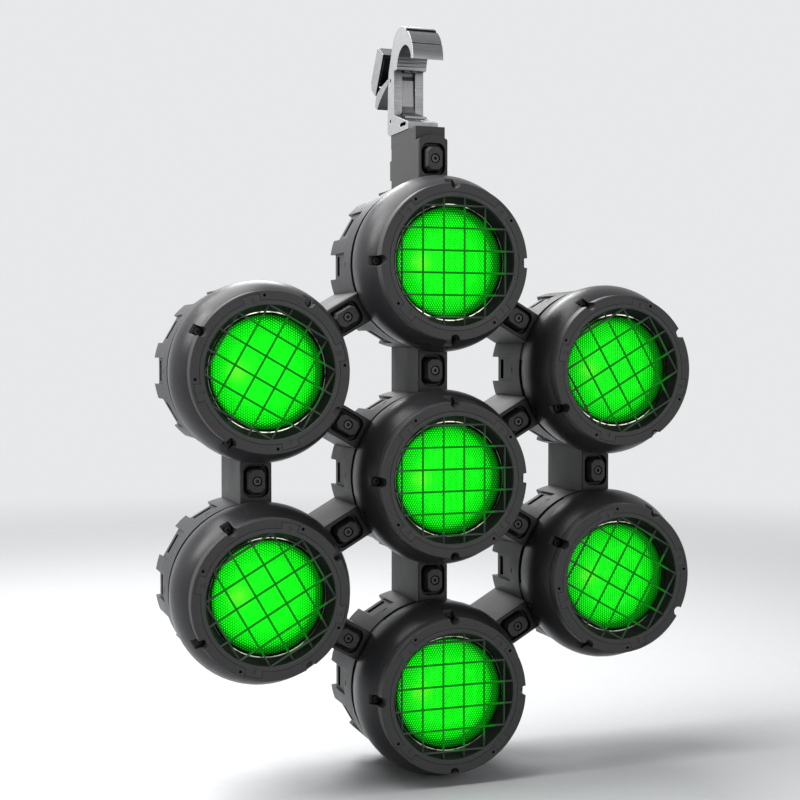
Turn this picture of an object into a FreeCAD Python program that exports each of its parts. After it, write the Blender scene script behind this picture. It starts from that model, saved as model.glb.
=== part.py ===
import FreeCAD, Part
import math
import os

# Seven round lamp heads in a hexagon, tied by link blocks and hung from a quick hook clamp.
# Millimetres. +Z is up, the lenses face -Y, and the origin is the centre of the tube in the hook.
# Depths called "front" and "back" are measured along Y from the plane of the link screws.

V = FreeCAD.Vector
X_AXIS = V(1, 0, 0)
Y_AXIS = V(0, 1, 0)
Z_AXIS = V(0, 0, 1)

# The array
head_gap = 43.6
screw_plane = 56.0
tube_radius = 25.5
cut_over = 1.0
seat_gap = 0.3
slip_fit = 0.08

# Radii of a head, each from the one before, out from the lens
lens_bore_r = 68.0
cone_flare = 6.0
ring_lap = 0.2
ring_face = 16.2
dome_bulge = 13.2
dome_front_in = 1.0
dome_back_in = 4.5
drum_out = 0.6
panel_in = 4.3
panel_wall = 4.0
nose_bore_r = lens_bore_r + cone_flare
ring_bore_r = nose_bore_r - ring_lap
ring_outer_r = ring_bore_r + ring_face
dome_r = ring_outer_r + dome_bulge
dome_front_r = ring_outer_r - dome_front_in
dome_back_r = dome_r - dome_back_in
drum_r = dome_back_r + drum_out
drum_panel_r = drum_r - panel_in
drum_bore_r = drum_panel_r - panel_wall
spacing = 2 * dome_r + head_gap

# Front ring of a head
ring_front = 64.2
ring_thick = 14.2
ring_edge = 0.8
ring_ledge_in = 2.3
ring_hole_r = 1.7
ring_hole_depth = 6.0
ring_hole_in = 5.6
ring_hole_turn = 35.0
ring_hole_at = ring_outer_r - ring_hole_in

# Wire guard, welded to a flat frame with four lugs that lies flush in the ring's front
wire_size = 2.3
mesh_pitch = 25.4
wire_set_back = 1.7
wire_weld = 1.6
frame_width = 5.0
frame_thick = 3.6
frame_bevel = 0.6
lug_reach = 7.5
lug_angle = 13.4
lug_turn = 45.3
lug_dimple_r = 2.2
lug_dimple_length = 3.0
lug_dimple_depth = 0.8
seam_gap = 0.45
frame_r = ring_bore_r + frame_width
lug_r = frame_r + lug_reach
ring_ledge_r = frame_r - ring_ledge_in
nose_r = ring_ledge_r - seam_gap

# Domed shell of a head
dome_crest = 15.0
dome_back = 13.0
shell_wall = 3.0
shell_front_wall = 3.5
cone_end = 46.2
lens_tube_wall = 3.0
lens_shoulder_in = 4.9
lens_shoulder_thick = 3.0
lens_shoulder_r = lens_bore_r - lens_shoulder_in
pad_angle = 15.6
pad_turn = 45.0

# Screw slots at the shell's shoulder
slot_width = 11.4
slot_floor = 40.0
slot_floor_thick = 3.5
slot_depth = 7.1
slot_wall = 2.8
shell_screw_r = 2.0
shell_screw_up = 5.6
slot_bottom_r = ring_outer_r - slot_depth
shell_screw_at = slot_bottom_r + shell_screw_up
shell_screw_head_r = 4.0
shell_screw_head = 3.5
shell_screw_socket = 3.0
shell_screw_end = 9.0

# Lens, its rim, and the light board behind it
lens_crown = 1.6
lens_edge = 4.0
lens_face = 45.0
rim_width = 1.6
rim_thick = 1.6
board_in = 2.1
board_r = lens_shoulder_r - board_in
board_thick = 1.6
board_face = 34.0
emitter_size = 6.0
emitter_height = 2.0
emitter_rings = 2
emitter_ring_step = 20.0

# Heat sink, seen as fin tips in the groove between shell and drum
sink_boss_out = 2.0
sink_boss = 4.0
sink_stem_r = 28.0
sink_plate = 5.0
sink_core_r = 26.0
sink_fins = 30
sink_fin_thick = 3.0
sink_back = 62.0

# Rear drum
groove_width = 6.0
drum_lip = 1.9
drum_lip_depth = 8.0
drum_band = 28.0
drum_floor_back = 88.0
drum_floor_thick = 4.0
drum_back = 105.0
drum_chamfer = 2.5
tab_notch = 30.5
link_notch = 37.4
gate_sill = 3.5
vent_width = 9.0
vent_length = 24.0
mark_width = 2.0
mark_length = 6.0
mark_at = 20.0
back_slot_width = 5.0
back_slot_length = 34.0
back_slot_depth = 2.0
back_slot_count = 12
back_slot_in = 38.0
socket_r = 12.0
socket_collar_r = 17.0
socket_collar = 3.0
socket_depth = 6.5

# Link block between two heads
link_width = 37.0
link_front = 7.0
link_edge = 1.2
pocket_width = 30.0
pocket_length = 38.0
pocket_corner = 9.0
pocket_depth = 8.0
island_width = 18.0
island_length = 26.0
island_flare = 3.0
island_corner = 4.5
counterbore_r = 5.8
counterbore_depth = 5.0
link_screw_head_r = 4.3
link_screw_head = 4.6
link_screw_r = 2.5
link_screw_length = 34.0
link_screw_socket = 4.0
link_socket_depth = 2.5
link_back_pocket = 60.0
link_back_margin = 5.0
link_end_wall = 7.7

# Top link and the adapter under the hook
top_link_rise = 28.5
top_link_curve = 34.0
rear_lug_width = 30.0
rear_lug_depth = 16.0
rear_lug_up = 10.0
rear_lug_down = 14.0
rear_lug_edge = 2.0
rear_lug_root_gap = 0.5
top_link_pocket = 3.0
adapter_height = 11.2
adapter_setback = 10.0
bolt_r = 6.0
bolt_head_r = 9.5
bolt_head = 5.0
bolt_pocket_r = 11.0
bolt_pocket = 5.4

# Hook body of the clamp, an extruded profile, measured from the tube's centre
hook_width = 38.5
hook_fit = 0.1
base_drop = 76.4
base_lip = 8.6
base_front = 14.4
base_slope = 14.9
spine_front = 36.1
spine_back = 57.6
spine_back_low = 61.0
heel_radius = 9.0
hook_tip_out = 31.9
hook_tip_drop = 4.0
hook_nose_out = 27.5
hook_nose_up = 23.5
hook_brow_out = 10.8
hook_brow_up = 41.5
hook_top = 50.2
hook_top_at = 12.0
hook_rear_out = 38.5
hook_rear_up = 39.5
hook_rear_low_out = 56.0
hook_rear_low_up = 2.0
ridge_end_angle = 3.0
ridge_notch = 5.0
tip_angle = 168.0
ridge_count = 4
ridge_pitch = 9.0
ridge_size = 1.1
brow_groove_depth = 1.6
brow_groove_width = 3.4
face_groove_width = 1.4
channel_front = 4.0
channel_back = 12.0
channel_drop = 68.8
channel_height = 4.8

# Trigger of the clamp: the claw in front and the lever behind, on one pin
pin_at = 49.5
pin_drop = 8.9
lower_pin_drop = 58.9
pin_r = 2.5
pin_recess = 0.8
claw_slot = 17.4
claw_width = 16.0
claw_slot_top = 14.0
claw_slot_low = 52.5
claw_hub_r = 7.0
claw_leaf = 3.6
claw_leaf_at = 40.4
claw_bend_low = 41.0
claw_foot_front = 10.0
claw_foot_width = 28.0
claw_foot_thick = 2.6
claw_nose_out = 29.8
claw_nose_low = 0.0
claw_nose_up = 5.6
claw_notch_width = 5.0
claw_notch_depth = 3.4
claw_ear_gap = 9.4
lever_root = 8.8
lever_inset = 0.25
lever_width = hook_width - 2 * lever_inset
tail_start = 60.5
tail_start_top = 5.2
tail_root = 6.6
tail_crown_at = 84.0
tail_crown_drop = 10.4
tail_shoulder_at = 103.6
tail_shoulder_drop = 17.1
tail_side_at = 109.2
tail_side_drop = 32.3
tail_tip_at = 102.0
tail_drop = 35.9
tail_hollow_at = 88.6
tail_hollow_drop = 25.6
grip_length = 56.0
grip_thick = 25.5
grip_tilt = 33.0
grip_foot_at = 108.5
grip_foot_drop = 17.5
grip_wall = 3.0
grip_cap = 4.0
grip_edge = 3.5
neck_width = 14.0
neck_rise = 8.0
neck_reach = 9.0

# Places worked out from the sizes above
ring_back_y = -ring_front + ring_thick
drum_front_y = dome_back + groove_width
link_back_y = drum_back
array_drop = (spacing * 3 / 2 + top_link_rise + adapter_height + seat_gap + base_drop)
top_link_z = spacing * 3 / 2 - array_drop

# The six rim heads clockwise from the top, with c in the middle; the fronts are clocked in thirds
RIM_ORDER = ["t", "ur", "lr", "b", "ll", "ul"]
HEADS = {name: 90 - 60 * i for i, name in enumerate(RIM_ORDER)}
HEAD_TURN = {name: 30 * ((i + 1) % 3 - 1) for i, name in enumerate(RIM_ORDER)}
HEAD_TURN["c"] = 0


def save(shape, name):
    """Write one node."""
    shape.exportStep("parts/" + name + ".step")


def line(a, b):
    return Part.LineSegment(a, b).toShape()


def arc(a, middle, b):
    return Part.Arc(a, middle, b).toShape()


def polygon(points):
    """A closed wire through the points."""
    return Part.makePolygon(list(points) + [points[0]])


def prism(points, vector):
    """A straight extrusion of a closed outline."""
    return Part.Face(polygon(points)).extrude(vector)


def block(x0, x1, y0, y1, z0, z1):
    return Part.makeBox(x1 - x0, y1 - y0, z1 - z0, V(x0, y0, z0))


def disc(radius, y0, y1, x=0.0, z=0.0):
    """A cylinder along Y from y0 to y1."""
    return Part.makeCylinder(radius, y1 - y0, V(x, y0, z), Y_AXIS)


def turned(edges):
    """A solid of revolution about the Y axis from a closed outline in the XY plane."""
    return Part.Face(Part.Wire(edges)).revolve(V(0, 0, 0), Y_AXIS, 360)


def outline(points):
    """Straight edges round a closed outline given as (radius, y)."""
    corners = [V(r, y, 0) for r, y in points]
    return [line(a, b) for a, b in zip(corners, corners[1:] + corners[:1])]


def arc_through(a, b, centre, radius):
    """The shorter arc from a to b about a centre in the XY plane."""
    middle = (a + b) * (1 / 2) - centre
    middle.normalize()
    return arc(a, centre + middle * radius, b)


def spin(shape, degrees):
    """A copy turned about the head's axis, anticlockwise as seen from the front."""
    copy = shape.copy()
    copy.rotate(V(0, 0, 0), Y_AXIS, -degrees)
    return copy


def around(shape, count, first=0.0):
    """Copies spaced evenly about the head's axis."""
    return [spin(shape, first + 360 * i / count) for i in range(count)]


def hexagon(across):
    """Corners of a hexagon in the XZ plane."""
    reach = across / 2 / math.cos(math.pi / 6)
    return [V(reach * math.cos(math.pi * i / 3), 0, reach * math.sin(math.pi * i / 3)) for i in range(6)]


def socket_screw(head_r, head_height, shank_r, shank_length, socket, socket_depth_):
    """A socket head screw along +Y with its head's face at y = 0."""
    head = disc(head_r, 0, head_height)
    shank = disc(shank_r, head_height, head_height + shank_length)
    hex_cut = prism(hexagon(socket), V(0, socket_depth_, 0))
    return head.fuse(shank).removeSplitter().cut(hex_cut)


# Head pieces, each about the head's own axis, with y = 0 at the plane of the link screws

def slot_cutter(y0, y1, width, bottom_r):
    """A round-bottomed slot, open outward, at the right-hand side of a head."""
    centre = bottom_r + width / 2
    reach = dome_r + cut_over
    return disc(width / 2, y0, y1, centre).fuse(block(centre, reach, y0, y1, -width / 2, width / 2))


def sector(radius, y0, y1, angle, turn):
    """A slice of a disc, centred on a turn from the right-hand side."""
    slice_ = Part.makeCylinder(radius, y1 - y0, V(0, y0, 0), Y_AXIS, angle)
    slice_.rotate(V(0, 0, 0), Y_AXIS, -turn - angle / 2)
    return slice_


def lugged_disc(grow, y0, y1):
    """The outline of the guard's frame with its four lugs, grown by a gap."""
    angle = lug_angle + math.degrees(2 * grow / lug_r)
    lug = sector(lug_r + grow, y0, y1, angle, lug_turn)
    return disc(frame_r + grow, y0, y1).fuse(around(lug, 4)).removeSplitter()


def make_ring():
    """Front ring with a pocket for the guard's frame, rim notches and small holes."""
    front = -ring_front
    ring = turned(outline([
        (ring_ledge_r, front),
        (ring_outer_r - ring_edge, front),
        (ring_outer_r, front + ring_edge),
        (ring_outer_r, ring_back_y),
        (ring_ledge_r, ring_back_y),
    ]))
    pocket = lugged_disc(seam_gap, front - cut_over, front + frame_thick + seat_gap)
    hole = disc(ring_hole_r, front - cut_over, front + ring_hole_depth, ring_hole_at)
    notch = slot_cutter(front - cut_over, ring_back_y + cut_over, slot_width, slot_bottom_r)
    cutters = [pocket] + around(hole, 4, ring_hole_turn) + around(notch, 4)
    return ring.cut(cutters)


def wire_bar(length, across):
    """A twelve-sided wire along X about the origin, with flats facing front and back."""
    reach = across / 2 / math.cos(math.pi / 12)
    corners = []
    for i in range(12):
        turn = math.pi / 12 + math.pi * i / 6
        corners.append(V(-length / 2, reach * math.cos(turn), reach * math.sin(turn)))
    return prism(corners, V(length, 0, 0))


def make_guard():
    """Square mesh of straight wires in two layers, welded to a flat frame with four dimpled lugs."""
    front = -ring_front
    frame = lugged_disc(0, front, front + frame_thick)
    bevel = turned(outline([
        (ring_bore_r + frame_bevel, front - cut_over),
        (ring_bore_r + frame_bevel, front),
        (ring_bore_r, front + frame_bevel),
        (ring_bore_r, front + frame_thick + cut_over),
        (0, front + frame_thick + cut_over),
        (0, front - cut_over),
    ]))
    low = lug_r - lug_reach / 2 - lug_dimple_length / 2
    dimple_back = front + lug_dimple_depth
    dimple = disc(lug_dimple_r, front - cut_over, dimple_back, low)
    dimple = dimple.fuse(disc(lug_dimple_r, front - cut_over, dimple_back, low - lug_dimple_length))
    frame = frame.cut([bevel] + around(dimple, 4, lug_turn))
    front_layer = front + wire_set_back
    back_layer = front_layer + wire_size
    end_r = ring_bore_r + wire_weld
    lines = int(ring_bore_r / mesh_pitch + 1 / 2)
    bars = []
    for i in range(-lines, lines):
        offset = mesh_pitch * (i + 1 / 2)
        reach = math.sqrt(end_r ** 2 - (abs(offset) + wire_size / 2) ** 2)
        level = wire_bar(2 * reach, wire_size)
        upright = level.copy()
        upright.rotate(V(0, 0, 0), Y_AXIS, 90)
        level.translate(V(0, front_layer, offset))
        upright.translate(V(offset, back_layer, 0))
        bars += [level, upright]
    return frame.fuse(bars)


def dome_point(y, inset):
    """Radius of the dome at a depth, inset by a wall, and the radius of its curve there."""
    crest = -dome_crest
    if y < crest:
        drop = dome_r - dome_front_r
        run = crest - ring_back_y
    else:
        drop = dome_r - dome_back_r
        run = dome_back - crest
    curve = (drop ** 2 + run ** 2) / (2 * drop)
    return dome_r - curve + math.sqrt((curve - inset) ** 2 - (y - crest) ** 2), curve


def dome_edges(y_front, y_back, inset, forward):
    """Two arcs of the dome's outline, from front to back or back again."""
    crest = -dome_crest
    front_r, front_curve = dome_point(y_front, inset)
    back_r, back_curve = dome_point(y_back, inset)
    a = V(front_r, y_front, 0)
    top = V(dome_r - inset, crest, 0)
    b = V(back_r, y_back, 0)
    first = arc_through(a, top, V(dome_r - front_curve, crest, 0), front_curve - inset)
    second = arc_through(top, b, V(dome_r - back_curve, crest, 0), back_curve - inset)
    if forward:
        return a, [first, second], b
    first = arc_through(top, a, V(dome_r - front_curve, crest, 0), front_curve - inset)
    second = arc_through(b, top, V(dome_r - back_curve, crest, 0), back_curve - inset)
    return b, [second, first], a


def groove_pad():
    """Pad across the groove behind the shell, with half-round sides that end the open slots."""
    inner = dome_back_r - shell_wall
    outer = dome_back_r - seat_gap
    pad = sector(outer, dome_back - cut_over, drum_front_y - seat_gap, pad_angle, pad_turn)
    half = groove_width / 2
    end = Part.makeCylinder(half, groove_width * 2, V(inner - groove_width, dome_back + half, 0), X_AXIS)
    ends = [spin(end, pad_turn - pad_angle / 2), spin(end, pad_turn + pad_angle / 2)]
    return pad.cut([disc(inner, dome_back - 2 * cut_over, drum_front_y)] + ends)


def make_shell():
    """Thin domed shell with the nose and dark cone in front, the lens tube inside and screw slots."""
    nose_y = -ring_front + wire_set_back + wire_size * 3 / 2 + seat_gap
    inner_y = ring_back_y + shell_front_wall
    tube_r = lens_bore_r + lens_tube_wall
    shoulder_front = -lens_face + lens_edge
    shoulder_back = shoulder_front + lens_shoulder_thick
    outer_start, outer_arcs, outer_end = dome_edges(ring_back_y, dome_back, 0, True)
    inner_start, inner_arcs, inner_end = dome_edges(inner_y, dome_back, shell_wall, False)
    path = [V(r, y, 0) for r, y in [
        (tube_r, inner_y),
        (tube_r, shoulder_back),
        (lens_shoulder_r, shoulder_back),
        (lens_shoulder_r, shoulder_front),
        (lens_bore_r, shoulder_front),
        (lens_bore_r, -cone_end),
        (nose_bore_r, nose_y),
        (nose_r, nose_y),
        (nose_r, ring_back_y),
    ]]
    edges = outer_arcs + [line(outer_end, inner_start)] + inner_arcs + [line(inner_end, path[0])]
    edges += [line(a, b) for a, b in zip(path, path[1:])] + [line(path[-1], outer_start)]
    shell = turned(edges)
    solid_edges = outer_arcs + [line(outer_end, V(0, dome_back, 0))]
    solid_edges += [line(V(0, dome_back, 0), V(0, ring_back_y, 0)), line(V(0, ring_back_y, 0), outer_start)]
    envelope = turned(solid_edges)
    boss_width = slot_width + 2 * slot_wall
    boss_back = -slot_floor + slot_floor_thick
    boss = slot_cutter(ring_back_y, boss_back, boss_width, slot_bottom_r - slot_wall).common(envelope)
    slot = slot_cutter(ring_back_y - cut_over, -slot_floor, slot_width, slot_bottom_r)
    bore = disc(shell_screw_r + slip_fit, -slot_floor - cut_over, boss_back + cut_over, shell_screw_at)
    shell = shell.fuse(around(boss, 4) + around(groove_pad(), 4))
    return shell.cut(around(slot, 4) + around(bore, 4))


def make_lens():
    """Round lens, domed in front."""
    edge_front = -lens_face
    radius = lens_bore_r - seat_gap
    crown = V(0, edge_front - lens_crown, 0)
    rim = V(radius, edge_front, 0)
    curve = (lens_crown ** 2 + radius ** 2) / (2 * lens_crown)
    back_rim = V(radius, edge_front + lens_edge, 0)
    back = V(0, edge_front + lens_edge, 0)
    centre = V(0, edge_front - lens_crown + curve, 0)
    face = arc_through(crown, rim, centre, curve)
    return turned([face, line(rim, back_rim), line(back_rim, back), line(back, crown)])


def make_rim():
    """Thin metal ring that holds the lens's edge."""
    outer = lens_bore_r - seat_gap
    front = -lens_face - rim_thick
    inner = outer - rim_width
    sag = lens_crown * (1 - (inner / outer) ** 2)
    ring = turned(outline([
        (outer, front + rim_thick / 3),
        (outer, -lens_face - seat_gap),
        (inner, -lens_face - sag - seat_gap),
        (inner, front),
        (outer - rim_width / 3, front),
    ]))
    return ring


def make_board():
    """Light board with a centre emitter and rings of emitters."""
    face = -board_face
    board = disc(board_r, face, face + board_thick)
    half = emitter_size / 2
    cell = block(-half, half, face - emitter_height, face, -half, half)
    cells = [cell]
    for ring in range(1, emitter_rings + 1):
        placed = cell.copy()
        placed.translate(V(emitter_ring_step * ring, 0, 0))
        cells += around(placed, 6 * ring)
    return board.fuse(cells)


def make_sink():
    """Finned heat sink that the board, the shell and the drum sit on."""
    back_r = dome_point(dome_back, shell_wall)[0] - seat_gap
    plate_front = dome_back - sink_plate
    boss_front = -board_face + board_thick
    boss_r = board_r + sink_boss_out
    body = turned(outline([
        (0, boss_front),
        (boss_r, boss_front),
        (boss_r, boss_front + sink_boss),
        (sink_stem_r, boss_front + sink_boss),
        (sink_stem_r, plate_front),
        (back_r, plate_front),
        (back_r, dome_back),
        (sink_core_r, dome_back),
        (sink_core_r, sink_back),
        (0, sink_back),
    ]))
    tip = drum_bore_r - seat_gap
    half = sink_fin_thick / 2
    fin = block(sink_core_r - half, tip, dome_back, sink_back, -half, half)
    bore = disc(shell_screw_r + slip_fit, plate_front - cut_over, dome_back + cut_over, shell_screw_at)
    return body.fuse(around(fin, sink_fins)).cut(around(bore, 4))


def make_drum():
    """Rear drum with a thin front lip, notches between its tabs, vents and a slotted back."""
    lip_back = drum_front_y + drum_lip_depth
    floor_front = drum_floor_back - drum_floor_thick
    drum = turned(outline([
        (0, floor_front),
        (drum_bore_r, floor_front),
        (drum_bore_r, lip_back),
        (drum_r - drum_lip, lip_back),
        (drum_r - drum_lip, drum_front_y),
        (drum_r, drum_front_y),
        (drum_r, drum_back - drum_chamfer),
        (drum_r - drum_chamfer, drum_back),
        (drum_bore_r, drum_back),
        (drum_bore_r, drum_floor_back),
        (0, drum_floor_back),
    ]))
    band_y = drum_front_y + drum_band
    back = drum_back + cut_over
    cutters = []
    for i in range(12):
        width = link_notch if i % 2 else tab_notch
        half = width / 2
        panel = block(drum_panel_r, drum_r + cut_over, band_y, back, -half, half)
        gate = block(drum_bore_r - cut_over - shell_wall, drum_r + cut_over, drum_floor_back + gate_sill,
                     back, -half, half)
        notch = panel.fuse(gate)
        cutters.append(spin(notch, 30 * i))
        vent = block(drum_bore_r - cut_over - shell_wall, drum_panel_r + cut_over, floor_front - vent_width,
                     floor_front, -vent_length / 2, vent_length / 2)
        cutters.append(spin(vent, 30 * i))
        if i % 2 == 0:
            y0 = drum_front_y + mark_at
            y1 = y0 + mark_width
            mark = block(drum_panel_r, drum_r + cut_over, y0, y1, -mark_length / 2, mark_length / 2)
            cutters.append(spin(mark, 30 * i))
    slot = block(back_slot_in, back_slot_in + back_slot_length, drum_floor_back - back_slot_depth,
                 drum_floor_back + cut_over, -back_slot_width / 2, back_slot_width / 2)
    cutters += around(slot, back_slot_count, 180 / back_slot_count)
    collar = disc(socket_collar_r, drum_floor_back, drum_floor_back + socket_collar)
    collar_bore = disc(socket_r, drum_floor_back + socket_collar - socket_depth,
                       drum_floor_back + socket_collar + cut_over)
    return drum.cut(cutters).fuse(collar).cut(collar_bore)


# Link blocks, with the link's length along Z and its centre at the origin

def octagon(width, length, corner, y):
    """A rectangle with cut corners in the XZ plane at a depth."""
    w = width / 2
    h = length / 2
    c = corner
    return [V(-w + c, y, -h), V(w - c, y, -h), V(w, y, -h + c), V(w, y, h - c),
            V(w - c, y, h), V(-w + c, y, h), V(-w, y, h - c), V(-w, y, -h + c)]


def rounded_pocket():
    """Cutter for the rounded pocket in a link's front face."""
    w = pocket_width / 2
    h = pocket_length / 2
    body = block(-w, w, link_front - cut_over, link_front + pocket_depth, -h, h)
    uprights = [e for e in body.Edges if abs(e.tangentAt(e.FirstParameter).y) > 1 / 2]
    return body.makeFillet(pocket_corner, uprights)


def island():
    """Raised block with sloping sides that carries the link's screw."""
    base = octagon(island_width + 2 * island_flare, island_length + 2 * island_flare,
                   island_corner, link_front + pocket_depth)
    face = octagon(island_width, island_length, island_corner, 0)
    return Part.makeLoft([polygon(base), polygon(face)], True, True)


def finish_link(body, recess_depth, recess_length):
    """Pocket, island, screw seat and rear recess that every link has."""
    seat = disc(counterbore_r, -cut_over, counterbore_depth)
    hole = disc(link_screw_r + slip_fit, 0, counterbore_depth + link_screw_length)
    margin = link_width / 2 - link_back_margin
    recess = block(-margin, margin, link_back_y - recess_depth, link_back_y + cut_over,
                   -recess_length / 2, recess_length / 2)
    return body.cut(rounded_pocket()).fuse(island()).removeSplitter().cut([seat, hole, recess])


def head_clearance(z):
    """Cutter for the dome and drum of the head at a height in the link's frame."""
    step = dome_back + seat_gap
    band = drum_front_y + drum_band + seat_gap
    flat = drum_panel_r + seat_gap
    return [
        disc(dome_point(link_front, 0)[0] + seat_gap, link_front - cut_over - ring_front, step, 0, z),
        disc(drum_r + seat_gap, step - cut_over, band, 0, z),
        block(-link_width, link_width, band - cut_over, link_back_y + cut_over, z - flat, z + flat),
    ]


def link_blank(z0, z1):
    """Plain bar of a link with its four long edges chamfered."""
    w = link_width / 2
    e = link_edge
    corners = [(-w + e, link_front), (w - e, link_front), (w, link_front + e), (w, link_back_y - e),
               (w - e, link_back_y), (-w + e, link_back_y), (-w, link_back_y - e), (-w, link_front + e)]
    return prism([V(x, y, z0) for x, y in corners], V(0, 0, z1 - z0))


def make_link():
    """A link whose two hollowed ends lie against the drums of two heads."""
    half = spacing / 2 - drum_bore_r
    body = link_blank(-half, half)
    body = body.cut(head_clearance(-spacing / 2) + head_clearance(spacing / 2))
    recess_length = spacing - 2 * (drum_panel_r + seat_gap + link_end_wall)
    return finish_link(body, link_back_pocket, recess_length)


def crowned(y0, y1, z0):
    """Bar with a rounded top, from a flat bottom at z0."""
    w = link_width / 2
    side = math.sqrt(top_link_curve ** 2 - w ** 2) - top_link_curve + top_link_rise
    a = V(w, y0, z0)
    b = V(w, y0, side)
    c = V(-w, y0, side)
    d = V(-w, y0, z0)
    crown = V(0, y0, top_link_rise)
    face = Part.Face(Part.Wire([line(d, a), line(a, b), arc(b, crown, c), line(c, d)]))
    return face.extrude(V(0, y1 - y0, 0))


def make_top_link():
    """The link above the top head, with a rounded top and a lug at its back."""
    half = spacing / 2 - drum_bore_r
    body = crowned(link_front, link_back_y, -half).common(link_blank(-half, top_link_rise + cut_over))
    body = finish_link(body.cut(head_clearance(-spacing / 2)), top_link_pocket, island_length)
    w = rear_lug_width / 2
    e = rear_lug_edge
    y0 = link_back_y
    y1 = link_back_y + rear_lug_depth
    lug = prism([V(-w, y0, -rear_lug_down), V(-w, y1 - e, -rear_lug_down), V(-w + e, y1, -rear_lug_down),
                 V(w - e, y1, -rear_lug_down), V(w, y1 - e, -rear_lug_down), V(w, y0, -rear_lug_down)],
                V(0, 0, rear_lug_up + rear_lug_down))
    root_w = link_width / 2 - link_back_margin - rear_lug_root_gap
    root = block(-root_w, root_w, y0 - top_link_pocket, y0, -rear_lug_down + e, rear_lug_up - e)
    return body.fuse([lug, root]).removeSplitter()


def make_adapter():
    """Block between the top link and the hook, hollowed to sit on the link and bored for the bolt."""
    top = top_link_rise + adapter_height
    w = link_width / 2
    y0 = link_front + adapter_setback
    side = math.sqrt(top_link_curve ** 2 - w ** 2) - top_link_curve + top_link_rise
    body = block(-w, w, y0, link_back_y, side, top)
    body = body.cut(crowned(y0 - cut_over, link_back_y + cut_over, side - top_link_rise))
    pocket = Part.makeCylinder(bolt_pocket_r, top_link_rise + bolt_pocket, V(0, screw_plane, 0), Z_AXIS)
    bore = Part.makeCylinder(bolt_r + slip_fit, top + cut_over, V(0, screw_plane, 0), Z_AXIS)
    return body.cut([pocket, bore])


# Clamp pieces, in the part's own frame

def across(points, width):
    """Extrusion along X, centred, of an outline in the YZ plane."""
    return prism([V(-width / 2, y, z) for y, z in points], V(width, 0, 0))


def on_circle(radius, degrees):
    turn = math.radians(degrees)
    return V(0, radius * math.cos(turn), radius * math.sin(turn))


def make_hook():
    """Hook body: tube arch, spine with the trigger's slot, and a foot with a sloped top."""
    inner = tube_radius + hook_fit
    foot_top = -base_drop + base_lip + base_slope
    ridge = on_circle(inner, ridge_end_angle)
    tip = on_circle(inner, tip_angle)
    low_tip = V(0, -hook_tip_out, hook_tip_drop)
    nose = V(0, -hook_nose_out, hook_nose_up)
    brow = V(0, -hook_brow_out, hook_brow_up)
    top = V(0, hook_top_at, hook_top)
    rear = V(0, hook_rear_out, hook_rear_up)
    rear_low = V(0, hook_rear_low_out, hook_rear_low_up)
    shelf = V(0, spine_front, ridge.z)
    edges = [
        line(V(0, spine_back, -pin_drop), V(0, spine_back_low, -base_drop + heel_radius)),
        arc(V(0, spine_back_low, -base_drop + heel_radius),
            V(0, spine_back_low - heel_radius * (1 - math.cos(math.pi / 4)),
              -base_drop + heel_radius * (1 - math.sin(math.pi / 4))),
            V(0, spine_back_low - heel_radius, -base_drop)),
        line(V(0, spine_back_low - heel_radius, -base_drop), V(0, -base_front, -base_drop)),
        line(V(0, -base_front, -base_drop), V(0, -base_front, -base_drop + base_lip)),
        line(V(0, -base_front, -base_drop + base_lip), V(0, spine_front, foot_top)),
        line(V(0, spine_front, foot_top), V(0, spine_front, ridge.z - ridge_notch)),
        line(V(0, spine_front, ridge.z - ridge_notch), shelf),
        line(shelf, ridge),
        arc(ridge, on_circle(inner, 90), tip),
        line(tip, low_tip),
        arc(low_tip, nose, brow),
        arc(brow, top, rear),
        line(rear, rear_low),
        line(rear_low, V(0, spine_back, -pin_drop)),
    ]
    face = Part.Face(Part.Wire(edges))
    body = face.extrude(V(hook_width, 0, 0))
    body.translate(V(-hook_width / 2, 0, 0))
    slot = block(-claw_slot / 2, claw_slot / 2, claw_nose_out, spine_back_low + cut_over,
                 -claw_slot_low, claw_slot_top)
    cutters = [slot]
    for drop in (pin_drop, lower_pin_drop):
        cutters.append(Part.makeCylinder(pin_r + slip_fit / 2, hook_width + 2 * cut_over,
                                         V(-hook_width / 2 - cut_over, pin_at, -drop), X_AXIS))
    for i in range(ridge_count):
        place = on_circle(inner, ridge_end_angle + ridge_pitch * (i + 1))
        y = place.y
        z = place.z
        half = ridge_size / 2
        cutters.append(block(-hook_width, hook_width, y - half, y + half, z - half, z + half))
    along = top - brow
    along.normalize()
    place = brow + along * brow_groove_width
    band = across([(place.y - brow_groove_width / 2, place.z - cut_over * 3),
                   (place.y + brow_groove_width / 2, place.z + brow_groove_depth * 3),
                   (place.y - brow_groove_width * 2, place.z + brow_groove_depth * 3),
                   (place.y - brow_groove_width * 2, place.z - brow_groove_depth)], hook_width * 2)
    cutters.append(band)
    half = face_groove_width / 2
    cutters.append(block(-hook_width, hook_width, -hook_nose_out - hook_tip_out,
                         -hook_nose_out + face_groove_width, hook_nose_up - half, hook_nose_up + half))
    half = channel_height / 2
    cutters.append(block(-hook_width, hook_width, -channel_front, channel_back,
                         -channel_drop - half, -channel_drop + half))
    for y in (-channel_front, channel_back):
        cutters.append(Part.makeCylinder(half, hook_width * 2, V(-hook_width, y, -channel_drop), X_AXIS))
    hole = Part.makeCylinder(bolt_r + slip_fit / 2, base_drop, V(0, 0, -base_drop - cut_over), Z_AXIS)
    foot = block(-hook_width, hook_width, -base_front, spine_front, -base_drop - cut_over, foot_top)
    return body.cut(cutters).cut(hole.common(foot))


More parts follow.
